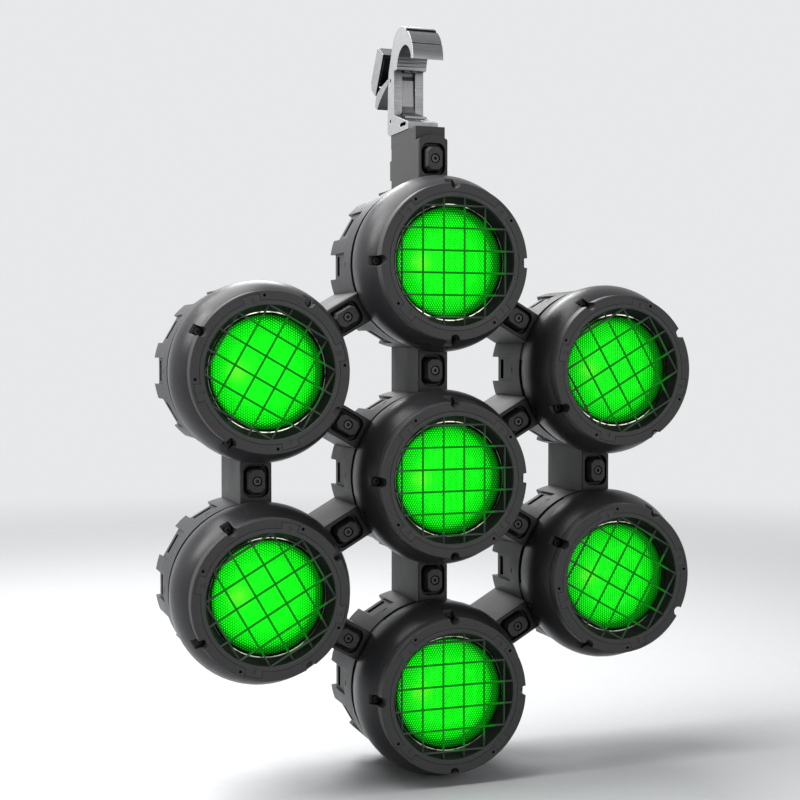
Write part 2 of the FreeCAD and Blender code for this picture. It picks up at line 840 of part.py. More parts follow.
def make_claw():
    """Claw: a sprung leaf in the slot, with a nose under the arch and a flared foot."""
    slope = base_slope / (spine_front + base_front)
    foot_top = -base_drop + base_lip + base_slope
    clear = seat_gap * 2
    front = claw_leaf_at
    bend_y = front - claw_foot_thick
    foot_low = foot_top - slope * (spine_front - bend_y) + clear
    toe_low = foot_top - slope * (spine_front - claw_foot_front) + clear
    leaf = across([
        (claw_nose_out, claw_nose_low),
        (claw_nose_out, claw_nose_low + claw_nose_up / 3),
        (front, claw_nose_up / 2),
        (pin_at, -pin_drop + claw_hub_r - clear),
        (pin_at, -pin_drop - claw_hub_r),
        (front + claw_leaf, -pin_drop - claw_hub_r - claw_leaf),
        (front + claw_leaf, -claw_bend_low),
        (bend_y + claw_leaf, foot_low + claw_foot_thick),
        (bend_y, foot_low),
        (bend_y - claw_foot_thick, foot_low - slope * claw_foot_thick),
        (bend_y - claw_foot_thick, foot_low + claw_foot_thick),
        (front - claw_leaf / 3, -claw_bend_low),
        (front, -pin_drop),
        (front + claw_leaf / 2, -claw_leaf),
        (front, claw_nose_low),
    ], claw_width)
    hub = Part.makeCylinder(claw_hub_r, claw_width, V(-claw_width / 2, pin_at, -pin_drop), X_AXIS)
    wide = [V(-claw_foot_width / 2, claw_foot_front, toe_low),
            V(claw_foot_width / 2, claw_foot_front, toe_low),
            V(claw_foot_width / 2, claw_foot_front, toe_low + claw_foot_thick),
            V(-claw_foot_width / 2, claw_foot_front, toe_low + claw_foot_thick)]
    narrow_y = bend_y - claw_foot_thick
    narrow_low = foot_low - slope * claw_foot_thick
    narrow = [V(-claw_width / 2, narrow_y, narrow_low),
              V(claw_width / 2, narrow_y, narrow_low),
              V(claw_width / 2, narrow_y, foot_low + claw_foot_thick),
              V(-claw_width / 2, narrow_y, foot_low + claw_foot_thick)]
    foot = Part.makeLoft([polygon(wide), polygon(narrow)], True, True)
    claw = leaf.fuse([hub, foot]).removeSplitter()
    gap = block(-claw_ear_gap / 2, claw_ear_gap / 2, pin_at - claw_hub_r, pin_at + claw_hub_r + cut_over,
                -pin_drop - claw_hub_r - claw_leaf - cut_over, -pin_drop + claw_hub_r + cut_over)
    notch = block(-claw_notch_width / 2, claw_notch_width / 2, claw_nose_out - cut_over,
                  claw_nose_out + claw_notch_depth, claw_nose_low - cut_over, claw_nose_up)
    bore = Part.makeCylinder(pin_r + slip_fit, claw_width + cut_over,
                             V(-(claw_width + cut_over) / 2, pin_at, -pin_drop), X_AXIS)
    return claw.cut([gap, notch, bore])


def make_lever():
    """Lever behind the spine: a curved tail and a hollow grip on a root that turns on the pin."""
    hub = Part.makeCylinder(claw_hub_r - seat_gap, lever_root, V(-lever_root / 2, pin_at, -pin_drop), X_AXIS)
    root = across([
        (pin_at, -pin_drop + claw_hub_r - cut_over),
        (tail_start + tail_root, -pin_drop + cut_over),
        (tail_start + tail_root, -pin_drop - tail_root),
        (pin_at, -pin_drop - claw_hub_r + cut_over),
    ], lever_root)
    start_top = V(0, tail_start, -tail_start_top)
    shoulder = V(0, tail_shoulder_at, -tail_shoulder_drop)
    side = V(0, tail_side_at, -tail_side_drop)
    tip = V(0, tail_tip_at, -tail_drop)
    start_low = V(0, tail_start, -tail_start_top - tail_root)
    bulge_share = 0.6
    outer = (shoulder + side) * (1 / 2)
    outer = V(0, outer.y * (1 - bulge_share) + tail_side_at * bulge_share, outer.z)
    tail_face = Part.Face(Part.Wire([
        arc(start_top, V(0, tail_crown_at, -tail_crown_drop), shoulder),
        arc(shoulder, outer, side),
        line(side, tip),
        arc(tip, V(0, tail_hollow_at, -tail_hollow_drop), start_low),
        line(start_low, start_top),
    ]))
    tail = tail_face.extrude(V(lever_width, 0, 0))
    tail.translate(V(-lever_width / 2, 0, 0))
    e = grip_edge
    half = lever_width / 2
    grip = across([
        (0, 0), (grip_thick - e * 2, 0), (grip_thick, e * 2), (grip_thick, grip_length - e),
        (grip_thick - e, grip_length), (0, grip_length),
    ], lever_width)
    inside = block(-half + grip_wall, half - grip_wall, -cut_over, grip_thick - grip_wall,
                   grip_wall, grip_length - grip_cap)
    grip = grip.cut(inside)
    neck = across([
        (-neck_reach, -neck_rise / 2),
        (-neck_reach, neck_rise),
        (grip_thick / 2, neck_rise),
        (grip_thick / 2, 0),
    ], neck_width)
    grip = grip.fuse(neck)
    grip.rotate(V(0, 0, 0), X_AXIS, grip_tilt)
    grip.translate(V(0, grip_foot_at, -grip_foot_drop))
    lever = root.fuse([hub, tail, grip]).removeSplitter()
    bore = Part.makeCylinder(pin_r + slip_fit, lever_root + cut_over,
                             V(-(lever_root + cut_over) / 2, pin_at, -pin_drop), X_AXIS)
    return lever.cut(bore)


def make_pins():
    """The trigger's pin and the lower pin, a little below the hook's sides."""
    length = hook_width - 2 * pin_recess
    pins = []
    for drop in (pin_drop, lower_pin_drop):
        pins.append(Part.makeCylinder(pin_r, length, V(-length / 2, pin_at, -drop), X_AXIS))
    return Part.makeCompound(pins)


def make_bolt():
    """Bolt that holds the adapter under the hook and lets it swivel."""
    under = -base_drop - seat_gap - adapter_height + bolt_pocket - seat_gap
    top = -base_drop + base_lip
    shank = Part.makeCylinder(bolt_r, top - under, V(0, 0, under), Z_AXIS)
    head = Part.makeCylinder(bolt_head_r, bolt_head, V(0, 0, under - bolt_head), Z_AXIS)
    return shank.fuse(head).removeSplitter()


def head_place(name):
    """Centre of a head in the part's frame."""
    if name == "c":
        return V(0, -screw_plane, -array_drop)
    turn = math.radians(HEADS[name])
    return V(spacing * math.cos(turn), -screw_plane, spacing * math.sin(turn) - array_drop)


def at_head(shape, name, turns=True):
    """A copy of a piece at its head; the drums all stand the same way, the fronts turn."""
    copy = spin(shape, HEAD_TURN[name]) if turns else shape.copy()
    copy.translate(head_place(name))
    return copy


def link_names():
    """Every pair of neighbouring heads."""
    pairs = [(RIM_ORDER[i], RIM_ORDER[(i + 1) % 6]) for i in range(6)]
    pairs += [(name, "c") for name in RIM_ORDER]
    return pairs


def at_link(shape, pair):
    """A copy of a link between two heads."""
    a = head_place(pair[0])
    b = head_place(pair[1])
    along = b - a
    turn = math.degrees(math.atan2(along.x, along.z))
    copy = shape.copy()
    copy.rotate(V(0, 0, 0), Y_AXIS, turn)
    copy.translate((a + b) * (1 / 2))
    return copy


def at_top(shape):
    copy = shape.copy()
    copy.translate(V(0, -screw_plane, top_link_z))
    return copy


def main():
    os.makedirs("parts", exist_ok=True)
    ring = make_ring()
    guard = make_guard()
    shell = make_shell()
    lens = make_lens()
    drum = make_drum()
    rim = make_rim()
    board = make_board()
    sink = make_sink()
    names = RIM_ORDER + ["c"]
    for name in names:
        save(at_head(ring, name), "ring_" + name)
        save(at_head(guard, name), "guard_" + name)
        save(at_head(shell, name), "shell_" + name)
        save(at_head(lens, name), "lens_" + name)
        save(at_head(drum, name, False), "drum_" + name)
    save(Part.makeCompound([at_head(rim, name) for name in names]), "lens_rims")
    save(Part.makeCompound([at_head(board, name) for name in names]), "light_boards")
    save(Part.makeCompound([at_head(sink, name) for name in names]), "heat_sinks")
    screw = socket_screw(shell_screw_head_r, shell_screw_head, shell_screw_r,
                         slot_floor + shell_screw_end, shell_screw_socket, shell_screw_head / 2)
    screw.translate(V(shell_screw_at, -slot_floor - shell_screw_head, 0))
    screws = [at_head(s, name) for name in names for s in around(screw, 4)]
    save(Part.makeCompound(screws), "shell_screws")
    link = make_link()
    pairs = link_names()
    for pair in pairs:
        save(at_link(link, pair), "link_" + pair[0] + "_" + pair[1])
    save(at_top(make_top_link()), "link_top")
    save(at_top(make_adapter()), "adapter")
    tie = socket_screw(link_screw_head_r, link_screw_head, link_screw_r,
                       link_screw_length - link_screw_head, link_screw_socket, link_socket_depth)
    tie.translate(V(0, counterbore_depth - link_screw_head, 0))
    ties = [at_link(tie, pair) for pair in pairs] + [at_top(tie)]
    save(Part.makeCompound(ties), "link_screws")
    save(make_hook(), "hook_body")
    save(make_claw(), "hook_claw")
    save(make_lever(), "hook_lever")
    save(make_pins(), "hook_pins")
    save(make_bolt(), "hook_bolt")


main()
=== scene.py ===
import math
import bpy
from mathutils import Matrix, Vector


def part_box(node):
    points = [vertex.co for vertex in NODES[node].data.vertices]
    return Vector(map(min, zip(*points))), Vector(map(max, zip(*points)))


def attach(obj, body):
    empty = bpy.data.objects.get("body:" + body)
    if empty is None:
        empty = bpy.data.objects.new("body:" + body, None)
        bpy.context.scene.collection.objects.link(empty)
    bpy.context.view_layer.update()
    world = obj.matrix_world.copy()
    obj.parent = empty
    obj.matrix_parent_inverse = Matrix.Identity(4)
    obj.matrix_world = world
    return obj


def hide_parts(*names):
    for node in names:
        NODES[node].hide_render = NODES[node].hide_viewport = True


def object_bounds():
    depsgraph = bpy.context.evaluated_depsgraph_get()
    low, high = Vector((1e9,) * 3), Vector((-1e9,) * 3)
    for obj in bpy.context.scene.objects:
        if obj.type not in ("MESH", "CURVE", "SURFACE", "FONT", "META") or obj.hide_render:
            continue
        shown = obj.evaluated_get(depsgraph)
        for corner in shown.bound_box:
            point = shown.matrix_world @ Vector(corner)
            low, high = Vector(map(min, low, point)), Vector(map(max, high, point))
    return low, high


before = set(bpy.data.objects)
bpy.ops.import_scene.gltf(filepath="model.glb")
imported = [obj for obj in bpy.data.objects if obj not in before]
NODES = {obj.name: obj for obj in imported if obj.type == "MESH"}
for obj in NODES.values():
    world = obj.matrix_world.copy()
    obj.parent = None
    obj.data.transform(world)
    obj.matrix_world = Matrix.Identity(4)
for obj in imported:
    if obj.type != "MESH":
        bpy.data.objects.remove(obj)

cad_box = [list(corner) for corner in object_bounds()]

MM = 0.001

# Turn of each head's front about its own axis, in degrees
HEAD_TURN = {"t": 0, "ul": -30, "ll": 30, "b": 0, "lr": -30, "ur": 30, "c": 0}

# Shapes in millimetres, in a head's own frame: y = 0 at the plane of the link screws, the lens towards -y
RING_FRONT = 64.2
RING_BORE = 73.8
PAINT_INSET = 0.4
PAINT_OUTSET = 0.1
LENS_FACE = 45.0
LENS_CROWN = 1.6
LENS_EDGE = 4.0
LENS_RADIUS = 67.7
LENS_STEP = 0.5
LENS_STEP_SPREAD = 1.15
LENS_INNER_POINTS = 24
PEBBLE_PITCH = 3.0
PEBBLE_HEIGHT = 1.0
PEBBLE_MARGIN = 1.8
BOARD_FACE = 34.0
BOARD_SLACK = 0.1
EMITTER_HEIGHT = 2.0
WIRE_RADIUS = 1.15
WIRE_LAYER = 61.35
WIRE_PITCH = 25.4
WIRE_COUNT = 6
BEAD_RADIUS = WIRE_RADIUS * 1.2
BEAD_HEIGHT = WIRE_RADIUS * 0.7
BEAD_MARGIN = WIRE_PITCH / 8
BEAD_SIDES = 10
BEAD_LEVELS = 5
CONE_FRONT = (73.7, -58.4)
CONE_BACK = (68.3, -46.9)
CONE_SIDES = 120
RIB_COUNT = 7
RIB_HEIGHT = 0.35
RIB_STEP_SHARES = ((0.0, 0.0), (0.15, 1.0), (0.55, 1.0), (0.7, 0.0))

# Light in a head: radii in millimetres from its axis, and strengths
LIT_RADIUS = 61.0
LIT_FADE = 1.0
GLOW_RADIUS = 64.5
GLOW_FADE = 3.0
SMOOTH_RADIUS = 34.0
PEBBLE_GLOW = 0.16
FURROW_GLOW = 0.01
WIRE_GLOW = 0.16
BOARD_GLOW = 0.80
EMITTER_GLOW = 1.05
WARM_SIDE = 31.0
WARM_RADIUS = 20.0

# Painted highlights on a lens rim: their reach and fade, in millimetres from its top and bottom
RIM_HIGHLIGHT_TOP = 26.0
RIM_HIGHLIGHT_BOTTOM = 50.0
RIM_FADE_TOP = 8.0
RIM_FADE_BOTTOM = 12.0

# Painted dark reflection and groove shadow on the hook's profile, in millimetres from the tube's centre: in
# front of y, from z, to z
HOOK_BROW_DARK_REFLECTION = (-3.0, 39.6, 45.0)
HOOK_GROOVE_SHADOW = (-20.0, 22.7, 24.0)
BAND_FADE = 0.25

# Camera: place in metres, angles in degrees
CAMERA_PLACE = (-0.60475, -1.622, -0.33965)
CAMERA_DIP = 2.11
CAMERA_TURN = 19.69
CAMERA_LENS = 63.72
CAMERA_NEAR = 0.05
CAMERA_FAR = 50.0

# Lamps: name, place in metres, width and height in metres, power in watts
LAMPS = (
    ("overhead", (-0.75, 0.25, 1.15), 1.9, 1.3, 56.0),
    ("left", (-1.9, 0.10, 1.00), 0.8, 1.1, 36.0),
    ("front", (0.8, -2.7, 0.05), 1.8, 1.8, 17.0),
    ("behind", (0.2, 1.8, 1.15), 1.0, 0.8, 26.0),
)
LAMP_TARGET = (0.0, -0.03, -0.40)

# Backdrop and floor, in metres
SKY_COLOUR = (0.80, 0.81, 0.82, 1.0)
SKY_LIGHT = 0.17
SKY_SEEN = 1.0
FLOOR_REACH = 6.0
FLOOR_GAP = 1.5 * MM
FLOOR_FADE_START = 0.9
FLOOR_FADE_END = 3.4
FLOOR_GRAIN = 60.0
FLOOR_ROUGHNESS = 0.7
FLOOR_BOUNCE_COLOUR = (0.32, 0.32, 0.33, 1.0)
FLOOR_COLOURS = ((0.63, 0.64, 0.65, 1.0), (0.67, 0.68, 0.69, 1.0))

# Parts of a noise's range, from and to, that a change of colour or gloss is spread over
MIDDLE = (0.3, 0.7)
NARROW_MIDDLE = (0.32, 0.68)
WIDE_MIDDLE = (0.25, 0.75)
TIGHT_MIDDLE = (0.35, 0.65)
UPPER = (0.45, 0.8)
COAT_CLOUDED = (0.35, 0.75)
COAT_RUBBED = (0.38, 0.66)

# Powder coats: shares of the base colour, the last for painted shade in hollows, scales of the noises,
# relief in millimetres, edge colour
COAT_DARK_SHARE = 0.72
COAT_LIGHT_SHARE = 1.32
COAT_CLOUD_SHARE = 1.6
COAT_HOLLOW_SHADE_SHARE = 0.12
COAT_CLOUD_SCALE = 22.0
COAT_RUB_SCALE = 160.0
COAT_RELIEF = 0.25
RUBBED_GREY = (0.15, 0.15, 0.155)

# Bare metals: shares of the base colour, the last for painted shade in hollows, and reach of the hollows and
# relief in millimetres
METAL_CLOUD_SHARE = 0.62
METAL_EDGE_SHARE = 1.2
METAL_HOLLOW_SHADE_SHARE = 0.1
METAL_HOLLOW_REACH = 4.0
METAL_RELIEF = 0.12

# Extruded profile: scales of the noises along each axis, shares of the base colours, edges, and the colour
# of painted shade in hollows and painted dark bands
DRAWN_SCALES = (5.0, 1100.0, 1100.0)
SAWN_SCALES = (60.0, 60.0, 1500.0)
DRAWN_SHARES = (0.66, 1.25)
SAWN_SHARES = (0.88, 1.05)
ALLOY_CLOUD_SHARE = 0.6
ALLOY_EDGE = (0.9, 0.9, 0.9)
ALLOY_PAINTED_DARK = (0.012, 0.012, 0.012)
SAWN_ROUGHER = 0.16

# Greens of the light, as seen on the board, its emitters, its warm patch, the lens and the wires
BOARD_GREEN = (0.001, 1.0, 0.002)
EMITTER_GREEN = (0.004, 1.0, 0.003)
WARM_GREEN = (0.27, 1.0, 0.03)
LENS_GREEN = (0.02, 1.0, 0.03)
WIRE_GREEN = (0.01, 1.0, 0.02)

# Cosines between the softened and the true normal, from no edge to a full edge
EDGE_COSINES = (0.995, 0.8)


# Camera, light and stage

def aim(obj, target):
    obj.rotation_euler = (Vector(target) - obj.location).to_track_quat("-Z", "Y").to_euler()


def make_camera():
    data = bpy.data.cameras.new("camera")
    data.lens = CAMERA_LENS
    data.clip_start = CAMERA_NEAR
    data.clip_end = CAMERA_FAR
    camera = bpy.data.objects.new("camera", data)
    bpy.context.scene.collection.objects.link(camera)
    camera.location = CAMERA_PLACE
    camera.rotation_euler = (math.radians(90 - CAMERA_DIP), 0, math.radians(-CAMERA_TURN))
    bpy.context.scene.camera = camera


def softbox(name, place, width, height, power):
    """A rectangular lamp that faces the middle of the object."""
    data = bpy.data.lights.new(name, "AREA")
    data.shape = "RECTANGLE"
    data.size = width
    data.size_y = height
    data.energy = power
    lamp = bpy.data.objects.new(name, data)
    bpy.context.scene.collection.objects.link(lamp)
    lamp.location = place
    aim(lamp, LAMP_TARGET)


class Tree:
    """A node tree of a material or the world, built one node at a time."""

    def __init__(self, owner):
        owner.use_nodes = True
        self.owner = owner
        self.nodes = owner.node_tree.nodes
        self.links = owner.node_tree.links
        self.nodes.clear()

    def add(self, kind, values=None, **settings):
        """A node, with sockets linked or set from values, and its other settings."""
        node = self.nodes.new("ShaderNode" + kind)
        for key, value in settings.items():
            setattr(node, key, value)
        for key, value in (values or {}).items():
            if isinstance(value, bpy.types.NodeSocket):
                self.links.new(value, node.inputs[key])
            else:
                node.inputs[key].default_value = value
        return node

    def place(self):
        """The point on the surface, in the part's frame."""
        return self.add("TexCoord").outputs["Object"]

    def flat_place(self, place, keep):
        """place with the axes dropped that are 0 in keep."""
        return self.add("VectorMath", {0: place, 1: keep}, operation="MULTIPLY").outputs[0]

    def distance(self, place, spot):
        return self.add("VectorMath", {0: place, 1: spot}, operation="DISTANCE").outputs["Value"]

    def axis(self, vector, name):
        return self.add("SeparateXYZ", {0: vector}).outputs[name]

    def math(self, operation, a, b=0.0):
        return self.add("Math", {0: a, 1: b}, operation=operation).outputs[0]

    def both(self, a, b):
        """Two masks or strengths multiplied."""
        return self.math("MULTIPLY", a, b)

    def inverse(self, mask):
        return self.math("SUBTRACT", 1.0, mask)

    def span(self, value, low, high, to_low=0.0, to_high=1.0):
        """value mapped from one range to another, held at its ends."""
        values = {"Value": value, "From Min": low, "From Max": high, "To Min": to_low, "To Max": to_high}
        return self.add("MapRange", values).outputs["Result"]

    def mix(self, factor, a, b):
        return self.add("Mix", {0: factor, 6: a, 7: b}, data_type="RGBA").outputs[2]

    def noise(self, place, scale, detail=2.0, rough=0.5, twist=0.0):
        values = {"Vector": place, "Scale": scale, "Detail": detail, "Roughness": rough, "Distortion": twist}
        return self.add("TexNoise", values).outputs["Fac"]

    def drawn_noise(self, place, scales, detail, rough, twist=0.0):
        """Noise with its own scale along each axis, which makes lines where one scale is small."""
        stretched = self.add("Mapping", {"Vector": place, "Scale": scales}).outputs["Vector"]
        return self.noise(stretched, 1.0, detail, rough, twist)

    def bump(self, height, strength, depth, normal=None):
        """A normal with relief, its depth in millimetres."""
        values = {"Height": height, "Strength": strength, "Distance": depth * MM}
        if normal is not None:
            values["Normal"] = normal
        return self.add("Bump", values).outputs[0]

    def close(self, shader):
        kind = "OutputWorld" if isinstance(self.owner, bpy.types.World) else "OutputMaterial"
        self.add(kind, {"Surface": shader.outputs[0]})
        return self.owner


def new_tree(name):
    return Tree(bpy.data.materials.new(name))


def seen(tree):
    """1 for the rays that see the backdrop: from the camera, and through gloss and glass."""
    path = tree.add("LightPath")
    direct = tree.math("MAXIMUM", path.outputs["Is Camera Ray"], path.outputs["Is Glossy Ray"])
    return tree.math("MAXIMUM", direct, path.outputs["Is Transmission Ray"])


def make_world():
    """A pale backdrop that gives only a little light."""
    world = bpy.data.worlds.new("studio")
    bpy.context.scene.world = world
    tree = Tree(world)
    strength = tree.span(seen(tree), 0.0, 1.0, SKY_LIGHT, SKY_SEEN)
    tree.close(tree.add("Background", {"Color": SKY_COLOUR, "Strength": strength}))


def floor_paint():
    """Pale floor that fades into the backdrop, and bounces less light than it shows."""
    tree = new_tree("floor")
    place = tree.place()
    flat = tree.flat_place(place, (1.0, 1.0, 0.0))
    away = tree.add("VectorMath", {0: flat}, operation="LENGTH").outputs["Value"]
    fade = tree.span(away, FLOOR_FADE_START, FLOOR_FADE_END)
    slope = tree.math("SUBTRACT", 3.0, tree.math("MULTIPLY", fade, 2.0))
    eased = tree.math("MULTIPLY", tree.math("MULTIPLY", fade, fade), slope)
    pale = tree.mix(tree.noise(place, FLOOR_GRAIN, detail=4.0), *FLOOR_COLOURS)
    paint = tree.add("BsdfPrincipled", {
        "Base Color": tree.mix(seen(tree), FLOOR_BOUNCE_COLOUR, pale),
        "Roughness": FLOOR_ROUGHNESS,
    })
    clear = tree.add("BsdfTransparent")
    return tree.close(tree.add("MixShader", {0: eased, 1: paint.outputs[0], 2: clear.outputs[0]}))


def make_floor():
    low = cad_box[0][2] - FLOOR_GAP
    corners = [(x * FLOOR_REACH, y * FLOOR_REACH, low) for x, y in ((-1, -1), (1, -1), (1, 1), (-1, 1))]
    mesh = bpy.data.meshes.new("floor")
    mesh.from_pydata(corners, [], [(0, 1, 2, 3)])
    mesh.materials.append(floor_paint())
    floor = bpy.data.objects.new("floor", mesh)
    bpy.context.scene.collection.objects.link(floor)


def make_stage():
    make_camera()
    make_world()
    make_floor()
    for name, place, width, height, power in LAMPS:
        softbox(name, place, width, height, power)


# Materials

def tinted(colour, share=1.0):
    """A colour with its alpha, its parts times a share and at most 1."""
    return tuple(min(1.0, part * share) for part in colour) + (1.0,)


def edge_mask(tree, radius):
    """Softened normals, and a mask that is 1 on sharp edges. The radius is in millimetres."""
    soft = tree.add("Bevel", {"Radius": radius * MM}, samples=4).outputs["Normal"]
    flat = tree.add("NewGeometry").outputs["Normal"]
    cosine = tree.add("VectorMath", {0: soft, 1: flat}, operation="DOT_PRODUCT").outputs["Value"]
    return soft, tree.span(cosine, *EDGE_COSINES)


def hollows(tree, reach, full, none):
    """1 in hollows that are open by the share full or less, and 0 from the share none on: where shade is
    painted.

    The reach is in millimetres."""
    open_share = tree.add("AmbientOcclusion", {"Distance": reach * MM}, samples=6).outputs["AO"]
    return tree.span(open_share, none, full)


def powder_coat(name, base, rough, grain, bump, specular=0.25, edge=RUBBED_GREY, bevel=0.7, hollow=14.0):
    """Dark satin powder coat: fine pimpled skin, cloudy gloss, painted shade in hollows and lighter rubbed
    edges.

    bevel and hollow are in millimetres."""
    tree = new_tree(name)
    place = tree.place()
    skin = tree.noise(place, grain, detail=2.0, rough=0.6)
    cloud = tree.noise(place, COAT_CLOUD_SCALE, detail=5.0, rough=0.6)
    rub = tree.noise(place, COAT_RUB_SCALE, detail=4.0, rough=0.7)
    tone = tree.mix(tree.span(skin, *MIDDLE), tinted(base, COAT_DARK_SHARE), tinted(base, COAT_LIGHT_SHARE))
    tone = tree.mix(tree.span(cloud, *COAT_CLOUDED, 0.0, 0.30), tone, tinted(base, COAT_CLOUD_SHARE))
    soft, edges = edge_mask(tree, bevel)
    worn = tree.both(edges, tree.span(rub, *COAT_RUBBED, 0.15, 0.75))
    tone = tree.mix(worn, tone, tinted(edge))
    # Painted shade: the coat darkens where ambient occlusion finds hollows.
    tone = tree.mix(hollows(tree, hollow, 0.25, 0.85), tone, tinted(base, COAT_HOLLOW_SHADE_SHARE))
    cloudy = tree.span(cloud, *MIDDLE, rough - 0.05, rough + 0.07)
    rubbed = tree.span(rub, *MIDDLE, -0.03, 0.03)
    return tree.close(tree.add("BsdfPrincipled", {
        "Base Color": tone,
        "Roughness": tree.math("ADD", cloudy, rubbed),
        "Specular IOR Level": specular,
        "Normal": tree.bump(skin, bump, COAT_RELIEF, soft),
    }))


def bare_metal(name, base, rough, lines, streak, bevel=0.4):
    """Bare metal with fine drawn lines, a cloudy sheen, brighter edges and painted shade in hollows.

    lines holds the scale of the lines along each axis, and bevel is in millimetres."""
    tree = new_tree(name)
    place = tree.place()
    drawn = tree.drawn_noise(place, lines, detail=3.0, rough=0.6)
    cloud = tree.noise(place, 45.0, detail=5.0, rough=0.65)
    speck = tree.noise(place, 900.0, detail=2.0, rough=0.6)
    low = tinted(base, 1.0 - streak * 1.4)
    high = tinted(base, 1.0 + streak * 0.5)
    tone = tree.mix(tree.span(drawn, *MIDDLE), low, high)
    tone = tree.mix(tree.span(cloud, *UPPER, 0.0, 0.3), tone, tinted(base, METAL_CLOUD_SHARE))
    soft, edges = edge_mask(tree, bevel)
    tone = tree.mix(tree.math("MULTIPLY", edges, 0.6), tone, tinted(base, METAL_EDGE_SHARE))
    # Painted shade: darker where ambient occlusion finds hollows.
    tone = tree.mix(hollows(tree, METAL_HOLLOW_REACH, 0.25, 0.8), tone, tinted(base, METAL_HOLLOW_SHADE_SHARE))
    lined = tree.span(drawn, *WIDE_MIDDLE, rough - 0.06, rough + 0.08)
    specked = tree.span(speck, *MIDDLE, -0.03, 0.03)
    return tree.close(tree.add("BsdfPrincipled", {
        "Base Color": tone,
        "Metallic": 1.0,
        "Roughness": tree.math("ADD", lined, specked),
        "Normal": tree.bump(drawn, 0.15, METAL_RELIEF, soft),
    }))


def extruded_alloy(name, drawn, sawn_and_lit, hollow, bands=()):
    """Extruded aluminium: drawn lines along X, brighter cut ends that are partly their own finish and partly
    a painted highlight, painted shade in hollows and painted dark bands.

    hollow is in millimetres."""
    tree = new_tree(name)
    place = tree.place()
    normal = tree.add("NewGeometry").outputs["Normal"]
    ends = tree.span(tree.math("ABSOLUTE", tree.axis(normal, "X")), 0.55, 0.85)
    sides = tree.inverse(ends)
    lines = tree.drawn_noise(place, DRAWN_SCALES, detail=4.0, rough=0.65)
    saw = tree.drawn_noise(place, SAWN_SCALES, detail=3.0, rough=0.6, twist=0.3)
    cloud = tree.noise(place, 60.0, detail=5.0, rough=0.65)
    dull = tree.mix(tree.span(lines, *NARROW_MIDDLE), *(tinted(drawn, share) for share in DRAWN_SHARES))
    clean = tree.mix(tree.span(saw, *NARROW_MIDDLE), *(tinted(sawn_and_lit, share) for share in SAWN_SHARES))
    # Cut ends brighter than the drawn faces: partly their own finish, partly a painted highlight.
    tone = tree.mix(ends, dull, clean)
    tone = tree.mix(tree.span(cloud, *UPPER, 0.0, 0.35), tone, tinted(drawn, ALLOY_CLOUD_SHARE))
    soft, edges = edge_mask(tree, 0.5)
    tone = tree.mix(tree.math("MULTIPLY", edges, 0.7), tone, tinted(ALLOY_EDGE))
    # Painted shade in hollows, and painted dark bands: a dark reflection along the brow and a groove's
    # shadow.
    dark = hollows(tree, hollow, 0.2, 0.8)
    for front, low, high in bands:
        band = dark_band(tree, place, front, low, high)
        dark = tree.math("MAXIMUM", dark, tree.both(band, sides))
    lined = tree.span(lines, *WIDE_MIDDLE, 0.26, 0.42)
    clouded = tree.math("ADD", lined, tree.span(cloud, *MIDDLE, -0.03, 0.05))
    relief = tree.math("ADD", tree.both(lines, sides), tree.both(saw, ends))
    return tree.close(tree.add("BsdfPrincipled", {
        "Base Color": tree.mix(dark, tone, tinted(ALLOY_PAINTED_DARK)),
        "Metallic": 1.0,
        "Roughness": tree.math("ADD", clouded, tree.math("MULTIPLY", ends, SAWN_ROUGHER)),
        "Normal": tree.bump(relief, 0.16, METAL_RELIEF, soft),
    }))


def dark_band(tree, place, front, low, high):
    """1 in front of a Y and between two heights, in millimetres."""
    ahead = tree.math("LESS_THAN", tree.axis(place, "Y"), front * MM)
    height = tree.axis(place, "Z")
    above = tree.span(height, (low - BAND_FADE) * MM, (low + BAND_FADE) * MM)
    below = tree.span(height, (high + BAND_FADE) * MM, (high - BAND_FADE) * MM)
    return tree.both(tree.both(above, below), ahead)


def from_nearest_head(tree, place, side=0.0, rise=0.0):
    """Distance across Y, in metres, from the nearest head's axis or a line beside or above it.

    side and rise are in millimetres."""
    flat = tree.flat_place(place, (1.0, 0.0, 1.0))
    least = None
    for name in HEAD_TURN:
        centre = head_frame(name).translation
        away = tree.distance(flat, (centre.x + side * MM, 0.0, centre.z + rise * MM))
        least = away if least is None else tree.math("MINIMUM", least, away)
    return least


def over_lens(tree, away):
    """1 over the lit part of a lens, from the distance to its axis."""
    return tree.span(away, GLOW_RADIUS * MM, (GLOW_RADIUS - GLOW_FADE) * MM)


def clear_lens():
    """Clear moulded plastic with a faint green cast, painted shade in the furrows between pebbles that grows
    outward, and a faint glow.
    """
    tree = new_tree("clear_lens")
    place = tree.place()
    mottle = tree.noise(place, 420.0, detail=3.0, rough=0.6)
    skin = tree.noise(place, 1400.0, detail=2.0)
    away = from_nearest_head(tree, place)
    furrow = tree.add("Attribute", attribute_name="furrow").outputs["Fac"]
    outward = tree.math("POWER", tree.span(away, SMOOTH_RADIUS * MM, LIT_RADIUS * MM, 0.08, 1.0), 1.4)
    # Painted shade: the furrows between pebbles darken the plastic's colour, more so outward from the axis.
    shade = tree.both(tree.span(furrow, 0.25, 0.65), outward)
    clean = tree.mix(mottle, tinted((0.80, 1.0, 0.80)), tinted((0.92, 1.0, 0.92)))
    plastic = tree.add("BsdfRefraction", {
        "Color": tree.mix(shade, clean, tinted((0.0, 0.10, 0.0))),
        "Roughness": tree.span(mottle, *MIDDLE, 0.02, 0.06),
        "IOR": 1.49,
        "Normal": tree.bump(skin, 0.05, 0.1),
    })
    strength = tree.both(over_lens(tree, away), tree.span(shade, 0.0, 1.0, PEBBLE_GLOW, FURROW_GLOW))
    glow = tree.add("Emission", {"Color": tinted(LENS_GREEN), "Strength": strength})
    return tree.close(tree.add("AddShader", {0: plastic.outputs[0], 1: glow.outputs[0]}))


